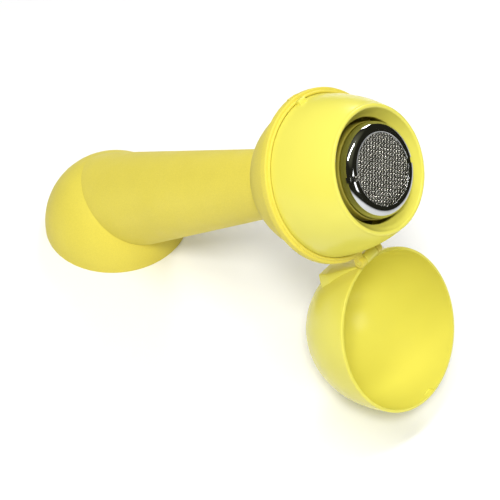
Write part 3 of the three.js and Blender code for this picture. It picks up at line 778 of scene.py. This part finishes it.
class OUTLET_OT_inlet(Operator):
    """Make the brass elbow with its threaded socket"""
    bl_idname = "outlet.inlet"
    bl_label = "Inlet elbow"

    # Facets round the thread's tool and rings along it
    TAP_TURNS, TAP_RINGS = 72, 80
    # Start of that tool before the socket's mouth, its thread's end before the bottom, and its runout
    TAP_LEAD, TAP_END, TAP_RUNOUT = 0.9 * MM, 1.6 * MM, 1.5 * MM
    # Slope of the thread's flanks, and the flat between two of its turns
    TAP_SLOPE, TAP_FLAT = 2.4, 0.1

    def execute(self, context):
        inlet, layout, foot = chosen(context, "inlet", "layout", "foot")
        place = layout.foot_frame()
        height, start = layout.rise / math.sin(layout.tilt), layout.rise / math.tan(layout.tilt)
        outer, top = inlet.bore + inlet.wall, height + inlet.wall
        body = turned([(0, 0, 0), (outer, 0, SOFT), (outer, height, BROAD), (inlet.leg, top, BROAD),
                       (0, top, 0)], ELBOW_TURNS)
        low = foot.plate + layout.gap
        flange = rod(inlet.flange / math.cos(math.pi / 6), low, low + inlet.flange_height, FINE, 6)
        steps = [
            (ADD, flange),
            (ADD, moved(rod(inlet.leg, start, inlet.leg_end, EDGE, ROD_TURNS), place)),
            (CUT, self.tap(inlet)),
            (CUT, rod(inlet.way, inlet.depth - OVERRUN, height, 0, BORE_TURNS)),
            (CUT, moved(rod(inlet.way, start, inlet.leg_end, 0, BORE_TURNS), place)),
            (CUT, moved(rod(inlet.tube, inlet.tube_foot, inlet.leg_end + OVERRUN, 0, BORE_TURNS), place)),
        ]
        dressed("inlet_fitting", carved(body, steps), "brass", "inlet_elbow")
        return {"FINISHED"}

    def tap(self, inlet):
        """The tool that cuts the socket: a helix of the thread's pitch, running out at the top."""
        rings = [[(0.0, 0.0, -OVERRUN)] * self.TAP_TURNS]
        for i in range(self.TAP_RINGS + 1):
            z = -self.TAP_LEAD + (inlet.depth + self.TAP_LEAD) * i / self.TAP_RINGS
            fade = min(1.0, max(0.0, (inlet.depth - self.TAP_END - z) / self.TAP_RUNOUT))
            ring = []
            for j in range(self.TAP_TURNS):
                share = j / self.TAP_TURNS
                phase = (z / inlet.thread_pitch - share) % 1
                flank = self.TAP_SLOPE * (0.5 - abs(phase - 0.5)) - self.TAP_FLAT
                cut = inlet.thread_depth * fade * min(1.0, max(0.0, flank))
                ring.append(polar(inlet.bore + cut, 2 * math.pi * share, z))
            rings.append(ring)
        rings.append([(0.0, 0.0, inlet.depth)] * self.TAP_TURNS)
        return stitched(rings)


class OUTLET_OT_arm(Operator):
    """Make the conical arm, cut to the foot's ball and to the head's ball"""
    bl_idname = "outlet.arm"
    bl_label = "Arm"

    def execute(self, context):
        arm, layout, foot, head = chosen(context, "arm", "layout", "foot", "head")
        turns = [QUARTER * k / CORNER_STEPS for k in range(CORNER_STEPS + 1)]
        rounding = [(arm.edge * (1 - math.sin(a)), arm.edge * (1 - math.cos(a))) for a in turns]
        lines = []
        for j in range(TURNS):
            turn = 2 * math.pi * j / TURNS
            low, high = self.ends(arm, layout, foot, head, turn, 0)
            low_in, high_in = self.ends(arm, layout, foot, head, turn, arm.wall)
            stops = [(low + d, inset) for inset, d in rounding]
            stops += [(low + (high - low) * i / ARM_STEPS, 0) for i in range(1, ARM_STEPS)]
            stops += [(high - d, inset) for inset, d in reversed(rounding)]
            stops += [(high_in, arm.wall), (low_in, arm.wall)]
            lines.append([polar(arm.radius(along) - inset, turn, along) for along, inset in stops])
        dressed("arm_tube", moved(stitched(list(zip(*lines))), layout.frame()), "moulded_yellow_matt", "arm")
        return {"FINISHED"}

    def ends(self, arm, layout, foot, head, turn, inset):
        """Where a line of the cone meets the foot's ball and the head's ball."""
        ball, back = foot.radius + arm.fit, head.back + arm.fit
        base = arm.radius(-layout.reach) - inset
        side = layout.rise * math.cos(turn)
        a = arm.taper ** 2 + 1
        b = 2 * arm.taper * (side - base)
        c = base ** 2 - 2 * base * side + layout.rise ** 2 - ball ** 2
        low = (-b + math.sqrt(b ** 2 - 4 * a * c)) / (2 * a) - layout.reach
        base = arm.radius(head.centre) - inset
        b, c = -2 * arm.taper * base, base ** 2 - back ** 2
        return low, (-b - math.sqrt(b ** 2 - 4 * a * c)) / (2 * a) + head.centre


class OUTLET_OT_back_shell(Operator):
    """Make the head's back shell with its lip, bead, hinge ears and catch bump"""
    bl_idname = "outlet.back_shell"
    bl_label = "Back shell"

    def execute(self, context):
        head, hinge, layout = chosen(context, "head", "hinge", "layout")
        inner = head.back - head.back_wall
        end = head.centre - head.back - head.spigot_reach
        shell = turned([
            (head.tube, end, FINE), (head.spigot, end, EDGE),
            *sweep((0, head.centre), head.back, head.back, -math.acos(head.spigot / head.back),
                   math.asin((head.lip_back - head.centre) / head.back)),
            (head.lip, head.lip_back, FULL), (head.lip, head.lip_front, head.lip_round),
            *sweep((head.bead_place, head.lip_front), head.bead, head.bead, 0, math.pi, BEAD_STEPS),
            (inner, head.lip_front, FINE),
            *sweep((0, head.centre), inner, inner, 0, -math.acos(head.spigot / inner)),
            (head.spigot, head.nut_seat, 0), (head.tube, head.nut_seat, FINE),
        ])
        pin = head.lip + hinge.out
        half = hinge.knuckle_width / 2 + layout.gap
        root = head.lip - head.lip_round - layout.gap
        steps = []
        for start, stop in ((half, half + hinge.ear), (-half - hinge.ear, -half)):
            steps.append((ADD, across(rod(hinge.knuckle, start, stop, hinge.ear_edge), pin)))
            steps.append((ADD, block((root, start, head.lip_back + CRISP),
                                     (pin, stop, head.lip_front - CRISP), FINE)))
        middle = (head.lip_front + head.lip_back) / 2
        wide, long = head.catch_width / 2, head.catch_length / 2
        steps.append((ADD, block((-head.lip - head.catch_rise, -wide, middle - long),
                                 (-head.lip + head.catch_rise, wide, middle + long), head.catch_edge)))
        floor = pin - hinge.sink - layout.gap
        steps.append((CUT, block((floor, -half, -NOTCH_REACH), (pin + NOTCH_PAST, half, NOTCH_REACH))))
        steps.append((CUT, hinge.bore(pin)))
        dressed("head_back", moved(carved(shell, steps), layout.frame()), "moulded_yellow_matt", "back_shell")
        return {"FINISHED"}


class OUTLET_OT_front_shell(Operator):
    """Make the egg-shaped front shell with its funnelled mouth, skirt and snap tab"""
    bl_idname = "outlet.front_shell"
    bl_label = "Front shell"

    def execute(self, context):
        head, layout = chosen(context, "head", "layout")
        seat = head.lip_front + layout.gap
        crown, girth = head.crown - head.front_wall, head.girth - head.front_wall
        throat = head.mouth_place - head.throat_depth
        land = throat - head.throat_land
        mouth = head.girth * math.sqrt(1 - ((head.mouth_place - head.crown_place) / head.crown) ** 2)
        root, foot = seat + head.skirt_root, seat - head.skirt_depth
        inner = head.skirt - head.skirt_wall

        def turn(height, size):
            return math.asin((height - head.crown_place) / size)

        shell = turned([
            *sweep((0, head.crown_place), head.girth, head.crown, turn(seat, head.crown),
                   turn(head.mouth_place, head.crown)),
            *sweep((mouth - head.mouth_round, head.mouth_place), head.mouth_round, head.mouth_round,
                   MOUTH_START, math.pi, MOUTH_STEPS),
            (head.throat, throat, SOFT), (head.throat, land, FINE),
            *sweep((0, head.crown_place), girth, crown, turn(land, crown), turn(root, crown)),
            (inner, root, 0), (inner, foot, FINE), (head.skirt, foot, EDGE), (head.skirt, seat, CRISP),
        ])
        wide, long = head.tab_width / 2, head.tab_length / 2
        tab = block((-head.tab_radius, -wide, head.tab_place - long),
                    (-girth, wide, head.tab_place + long), EDGE)
        dressed("head_front", moved(carved(shell, [(ADD, tab)]), layout.frame()), "moulded_yellow_gloss",
                "front_shell")
        return {"FINISHED"}


class OUTLET_OT_aerator(Operator):
    """Make the nozzle holder and the chromed aerator housing with its key slots"""
    bl_idname = "outlet.aerator"
    bl_label = "Aerator"

    def execute(self, context):
        parts, head, layout, tones = chosen(context, "aerator", "head", "layout", "finish")
        ledge = parts.holder_bore - parts.holder_ledge
        holder = turned([
            (head.tube, parts.holder_foot, FINE), (parts.holder_stem, parts.holder_foot, SOFT),
            (parts.holder_stem, parts.holder_shoulder, BROAD), (parts.holder, parts.holder_waist, WIDE),
            (parts.holder, parts.holder_front, EDGE), (parts.holder_bore, parts.holder_front, EDGE),
            (parts.holder_bore, parts.holder_cup, 0), (ledge, parts.holder_cup, FINE),
            (ledge, parts.holder_waist, BROAD), (parts.way, parts.holder_shoulder, BROAD),
            (parts.way, parts.tube_stop, 0), (head.tube, parts.tube_stop, 0),
        ])
        # The nozzle holder's olive finish is painted shade for the deep mouth, not a colour of its own
        dressed("nozzle_body", moved(holder, layout.frame()), "moulded_yellow_gloss", "nozzle_holder",
                finish=shade_painted_abs(tones))
        flange = parts.holder_front + layout.gap
        face = parts.front - parts.lip
        housing = turned([
            (parts.bore, parts.back, CRISP), (parts.thread, parts.back, EDGE), (parts.thread, flange, 0),
            (parts.radius, flange, CRISP),
            *sweep((parts.radius - parts.edge, parts.front - parts.edge_depth), parts.edge, parts.edge_depth,
                   0, QUARTER, RING_STEPS),
            (parts.mouth, parts.front - parts.dip, EDGE), (parts.mouth, face, CRISP), (parts.bore, face, 0),
        ])
        steps = []
        half, low, high = parts.slot_width / 2, parts.front - parts.slot_depth, parts.front + OVERRUN
        near, far = parts.mouth - OVERRUN, parts.radius + OVERRUN
        for start, stop in ((-far, -near), (near, far)):
            slot = block((-half, start, low), (half, stop, high))
            steps.append((CUT, moved(slot, Matrix.Rotation(parts.slot_turn, 4, "Z"))))
        dressed("aerator_ring", moved(carved(housing, steps), layout.frame()), "chrome", "aerator_housing")
        return {"FINISHED"}


class OUTLET_OT_screens(Operator):
    """Weave the two round wire screens"""
    bl_idname = "outlet.screens"
    bl_label = "Screens"

    def execute(self, context):
        parts, layout, tones = chosen(context, "aerator", "layout", "finish")
        tree, sockets = self.weave(parts.crimp)
        reach = parts.bore - layout.gap
        seat = parts.front - parts.lip - layout.gap
        for name, node, pitch, wire, turn, drop in (
                ("outlet_mesh", "outlet_screen", parts.screen_pitch, parts.screen_wire, parts.screen_turn,
                 parts.screen_drop),
                ("inner_mesh", "inner_screen", parts.inner_pitch, parts.inner_wire, parts.inner_turn,
                 parts.inner_drop)):
            woven = grown(name, tree, sockets, {
                "Pitch": pitch, "Wire": wire, "Reach": reach, "Count": 2 * int(reach / pitch) + 1,
                "Finish": drawn_steel(tones)})
            place = Matrix.Translation((0, 0, seat - drop)) @ Matrix.Rotation(turn, 4, "Z")
            woven.data.transform(layout.frame() @ place)
            for face in woven.data.polygons:
                face.use_smooth = True
            settled(woven, "steel", [node])
        return {"FINISHED"}

    def weave(self, crimp):
        """Wires crossing over and under one another, cut to a disc and held in a rim."""
        tree, given, sockets = node_tree("woven_screen", {
            "Pitch": "Float", "Wire": "Float", "Reach": "Float", "Count": "Int", "Finish": "Material"})
        make = partial(add_node, tree)

        def reckon(operation, *values):
            """A sum of numbers and sockets."""
            return make("ShaderNodeMath", dict(enumerate(values)), operation=operation)

        joined = make("GeometryNodeJoinGeometry")
        for sign, turn in ((1, 0.0), (-1, QUARTER)):
            # One straight wire for each step of the pitch, as long as the disc is wide there
            half = reckon("MULTIPLY", reckon("SUBTRACT", given["Count"], 1.0), 0.5)
            first = reckon("MULTIPLY", reckon("MULTIPLY", half, given["Pitch"]), -1.0)
            start = make("ShaderNodeCombineXYZ", {"Y": first})
            pace = make("ShaderNodeCombineXYZ", {"Y": given["Pitch"]})
            spots = make("GeometryNodeMeshLine", {"Count": given["Count"], "Start Location": start,
                                                  "Offset": pace})
            side = make("ShaderNodeSeparateXYZ", {"Vector": make("GeometryNodeInputPosition")}).outputs["Y"]
            square = reckon("SUBTRACT", reckon("POWER", given["Reach"], 2.0),
                            reckon("POWER", reckon("ABSOLUTE", side), 2.0))
            chord = reckon("SQRT", reckon("MAXIMUM", square, 1e-8))
            scale = make("ShaderNodeCombineXYZ", {"X": chord, "Y": 1.0, "Z": 1.0})
            wire = make("GeometryNodeCurvePrimitiveLine", {"Start": (-1.0, 0.0, 0.0), "End": (1.0, 0.0, 0.0)})
            copies = make("GeometryNodeInstanceOnPoints", {"Points": spots, "Instance": wire, "Scale": scale})
            real = make("GeometryNodeRealizeInstances", {"Geometry": copies})
            step = reckon("MULTIPLY", given["Pitch"], 0.25)
            fine = make("GeometryNodeResampleCurve", {"Curve": real, "Length": step}, mode="LENGTH")
            # Over and under: the wire's height follows a cosine along it and changes sign from wire to wire
            spot = make("ShaderNodeSeparateXYZ", {"Vector": make("GeometryNodeInputPosition")})
            waves = [reckon("COSINE", reckon("MULTIPLY", reckon("DIVIDE", spot.outputs[axis], given["Pitch"]),
                                             math.pi)) for axis in ("X", "Y")]
            height = reckon("MULTIPLY", reckon("MULTIPLY", *waves),
                            reckon("MULTIPLY", given["Wire"], crimp * sign))
            lift = make("ShaderNodeCombineXYZ", {"Z": height})
            waved = make("GeometryNodeSetPosition", {"Geometry": fine, "Offset": lift})
            section = make("GeometryNodeCurvePrimitiveCircle", {"Resolution": WIRE_TURNS,
                                                                "Radius": given["Wire"]})
            solid = make("GeometryNodeCurveToMesh", {"Curve": waved, "Profile Curve": section,
                                                     "Fill Caps": True})
            layer = make("GeometryNodeTransform", {"Geometry": solid, "Rotation": (0.0, 0.0, turn)})
            feed(tree, joined, {"Geometry": layer})
        # The screen's pressed rim
        path = make("GeometryNodeCurvePrimitiveCircle", {
            "Resolution": RIM_STEPS, "Radius": reckon("SUBTRACT", given["Reach"], given["Wire"])})
        section = make("GeometryNodeCurvePrimitiveCircle", {"Resolution": RIM_TURNS, "Radius": given["Wire"]})
        rim = make("GeometryNodeCurveToMesh", {"Curve": path, "Profile Curve": section})
        feed(tree, joined, {"Geometry": rim})
        ended(tree, joined, given["Finish"])
        return tree, sockets


class OUTLET_OT_cap(Operator):
    """Make the deep dust cap with its hinge block, knuckle and snap recess, and the hinge pin"""
    bl_idname = "outlet.cap"
    bl_label = "Dust cap"

    def execute(self, context):
        cap, head, hinge, layout = chosen(context, "cap", "head", "hinge", "layout")
        pin = head.lip + hinge.out
        inner = head.lip - cap.wall
        place = Matrix.Translation((2 * pin, 0, 0))
        shape = turned([(0, -cap.seat, 0), (head.lip, -cap.seat, cap.rim),
                        *self.bowl(cap, head.lip, cap.depth)[1:]])
        hollow = turned([(0, -cap.seat + OVERRUN, 0), (inner, -cap.seat + OVERRUN, 0),
                         *self.bowl(cap, inner, cap.depth - cap.wall)])
        top, half = pin + cap.block_drop, hinge.knuckle_width / 2
        front = -cap.seat - cap.rim_step
        sides = [(front, cap.block_nose / 2), (-cap.seat - cap.block_shoulder, cap.block_width / 2),
                 (front - cap.block_length, cap.block_width / 2)]
        deep = 2 * pin + head.tab_radius + cap.recess
        wide = head.tab_width / 2 + cap.recess
        high = head.tab_place + head.tab_length / 2 + cap.recess
        steps = [
            (ADD, self.drafted(top, top + cap.block_sink, sides, cap.block_draft)),
            (ADD, self.link(pin, top + cap.link_sink, front, half, hinge)),
            (CUT, moved(hollow, place)),
            (CUT, hinge.bore(pin)),
            (CUT, block((2 * pin + inner - OVERRUN, -wide, -high), (deep, wide, OVERRUN), CRISP)),
        ]
        dressed("cap_bowl", moved(carved(moved(shape, place), steps), layout.frame()), "moulded_yellow_gloss",
                "cap", body=CAP_BODY)
        reach = half + layout.gap + hinge.ear
        dressed("hinge_rod", moved(across(rod(hinge.pin, -reach, reach, FINE), pin), layout.frame()),
                "moulded_yellow_gloss", "hinge_pin")
        return {"FINISHED"}

    def drafted(self, near, far, sides, draft):
        """Block with its flat at one place along X, from (height, half width) ends, wider at its root."""
        corners = [(x, side * width, height) for height, half in sides for side in (-1, 1)
                   for x, width in ((near, half), (far, half + draft))]
        return hull(corners, FULL)

    def link(self, pin, inside, front, half, hinge):
        """Knuckle round the pin, drawn out to the bowl's wall behind the rim."""
        outline = [(pin + hinge.knuckle * math.cos(a), hinge.knuckle * math.sin(a))
                   for a in (2 * math.pi * i / SMALL_TURNS for i in range(SMALL_TURNS))]
        outline += [(inside, front - FINE), (inside, front - 2 * hinge.knuckle)]
        return hull([(x, side * half, z) for x, z in outline for side in (-1, 1)], FINE)

    def bowl(self, cap, radius, depth):
        """Half outline from the rim to the pole, fuller than an ellipse."""
        power = 2 / cap.fullness
        turns = [QUARTER * i / ARC_STEPS for i in range(ARC_STEPS)]
        points = [(radius * math.cos(a) ** power, -cap.seat - depth * math.sin(a) ** power, 0) for a in turns]
        return [*points, (0, -cap.seat - depth, 0)]


class OUTLET_OT_inner_finishes(Operator):
    """Give the pieces kept from the solid model their finishes"""
    bl_idname = "outlet.inner_finishes"
    bl_label = "Inner finishes"

    def execute(self, context):
        for part in frame["record"]["subparts"]:
            finish = FINISHES[part["material_slot"]](context.scene.outlet_finish)
            for slot in frame["nodes"][part["node"]].material_slots:
                slot.material = finish
        return {"FINISHED"}


class OUTLET_OT_stage(Operator):
    """Set the floor, the soft lights and the camera"""
    bl_idname = "outlet.stage"
    bl_label = "Stage"

    # Point that the lights are aimed at, then size, direction and distance of each, in metres
    AIM = Vector((0.1, 0, 0.07))
    LIGHTS = {
        "key": ((0.22, 0.22), (0.29, -0.50, 0.82), 1.0),
        "ceiling": ((0.06, 0.7), (-0.07, -0.24, 0.97), 0.9),
        "back": ((0.3, 0.3), (-0.40, 0.74, 0.54), 1.0),
        "side": ((0.4, 0.4), (0.85, -0.20, 0.50), 1.0),
    }
    # The camera's place, and its axes backwards and to the right, as fitted to the photograph's circles
    CAMERA_PLACE = (0.2412, -0.2078, 0.3113)
    CAMERA_BACK, CAMERA_RIGHT = (0.431, -0.540, 0.723), (0.768, 0.640, 0.021)
    SENSOR = 36

    def execute(self, context):
        stage, scene = context.scene.outlet_stage, context.scene
        ground = bmesh.new()
        bmesh.ops.create_grid(ground, x_segments=1, y_segments=1, size=stage.floor_size)
        floor = placed("floor", ground)
        floor.data.materials.append(self.painted_board(stage))

        scene.view_settings.view_transform = "Standard"
        scene.world = self.studio(stage)
        for name, (size, way, reach) in self.LIGHTS.items():
            lamp = bpy.data.lights.new(name, "AREA")
            lamp.shape, lamp.size, lamp.size_y, lamp.energy = "RECTANGLE", *size, getattr(stage, name)
            light = bpy.data.objects.new(name, lamp)
            light.location = self.AIM + Vector(way).normalized() * reach
            light.rotation_euler = (-Vector(way)).to_track_quat("-Z", "Y").to_euler()
            # The key stands for a bounced flash, which has no bright face to be mirrored
            light.visible_glossy = name != "key"
            scene.collection.objects.link(light)

        lens = bpy.data.cameras.new("camera")
        lens.lens, lens.sensor_width, lens.sensor_fit = stage.lens, self.SENSOR, "HORIZONTAL"
        camera = bpy.data.objects.new("camera", lens)
        back, right = Vector(self.CAMERA_BACK).normalized(), Vector(self.CAMERA_RIGHT)
        right = (right - right.dot(back) * back).normalized()
        axes = Matrix((right, back.cross(right), back)).transposed().to_4x4()
        camera.matrix_world = Matrix.Translation(self.CAMERA_PLACE) @ axes
        scene.collection.objects.link(camera)
        scene.camera = camera
        return {"FINISHED"}

    def studio(self, stage):
        """White tent all round; polished pieces mirror its darker walls and bright roof."""
        world = bpy.data.worlds.new("studio")
        world.use_nodes = True
        tree = world.node_tree
        make = partial(add_node, tree)
        plain = tree.nodes["Background"]
        feed(tree, plain, {"Color": stage.tent, "Strength": stage.sky})
        way = make("ShaderNodeTexCoord").outputs["Generated"]
        height = make("ShaderNodeSeparateXYZ", {"Vector": way}).outputs["Z"]
        roof = make("ShaderNodeMapRange", {"Value": height, "From Min": 0.75, "From Max": 0.97,
                                           "To Min": stage.wall, "To Max": stage.roof})
        mirrored = make("ShaderNodeBackground", {"Color": stage.mirrored, "Strength": roof})
        glossy = make("ShaderNodeLightPath").outputs["Is Glossy Ray"]
        mixed = make("ShaderNodeMixShader", {0: glossy, 1: plain, 2: mirrored})
        feed(tree, tree.nodes["World Output"], {"Surface": mixed})
        return world

    def painted_board(self, stage):
        """Pale painted board: flat and dry, with a hardly visible roller texture. It lights the part with a
        set share of its brightness, because a white floor would light the undersides too much."""
        def skin(make, place):
            clouds = mottled(make, place, 90 * MM, 2, 0.985, 1.0)
            bounced = make("ShaderNodeLightPath").outputs["Is Diffuse Ray"]
            share = make("ShaderNodeMapRange", {"Value": bounced, "To Min": clouds, "To Max": stage.bounce})
            return {"Base Color": make("ShaderNodeVectorMath", {0: stage.floor[:3], "Scale": share},
                                       operation="SCALE"),
                    "Roughness": 0.8}

        return surface("painted_board_floor", skin)


# ---------------------------------------------------------------- panel and registration

SETTINGS = {
    "outlet_layout": LayoutSettings, "outlet_foot": FootSettings, "outlet_inlet": InletSettings,
    "outlet_arm": ArmSettings, "outlet_head": HeadSettings, "outlet_hinge": HingeSettings,
    "outlet_aerator": AeratorSettings, "outlet_cap": CapSettings, "outlet_finish": FinishSettings,
    "outlet_stage": StageSettings,
}
OPERATORS = (
    OUTLET_OT_foot, OUTLET_OT_foot_plate, OUTLET_OT_inlet, OUTLET_OT_arm, OUTLET_OT_back_shell,
    OUTLET_OT_front_shell, OUTLET_OT_aerator, OUTLET_OT_screens, OUTLET_OT_cap, OUTLET_OT_inner_finishes,
    OUTLET_OT_stage,
)


class OUTLET_PT_panel(Panel):
    """Lists the sizes and the pieces of the eyewash outlet"""
    bl_idname = "OUTLET_PT_panel"
    bl_label = "Eyewash Outlet"
    bl_space_type = "VIEW_3D"
    bl_region_type = "UI"
    bl_category = "Eyewash"

    def draw(self, context):
        for operator in OPERATORS:
            self.layout.operator(operator.bl_idname)
        for name, group in SETTINGS.items():
            box = self.layout.box()
            box.label(text=group.__name__.replace("Settings", ""))
            for key in group.__annotations__:
                box.prop(getattr(context.scene, name), key)


CLASSES = (*SETTINGS.values(), *OPERATORS, OUTLET_PT_panel)


def register():
    for entry in CLASSES:
        bpy.utils.register_class(entry)
    for name, group in SETTINGS.items():
        setattr(bpy.types.Scene, name, PointerProperty(type=group))


def unregister():
    for name in SETTINGS:
        delattr(bpy.types.Scene, name)
    for entry in reversed(CLASSES):
        bpy.utils.unregister_class(entry)


def main():
    register()
    for operator in OPERATORS:
        getattr(bpy.ops.outlet, operator.bl_idname.split(".")[1])()


if __name__ == "__main__":
    main()
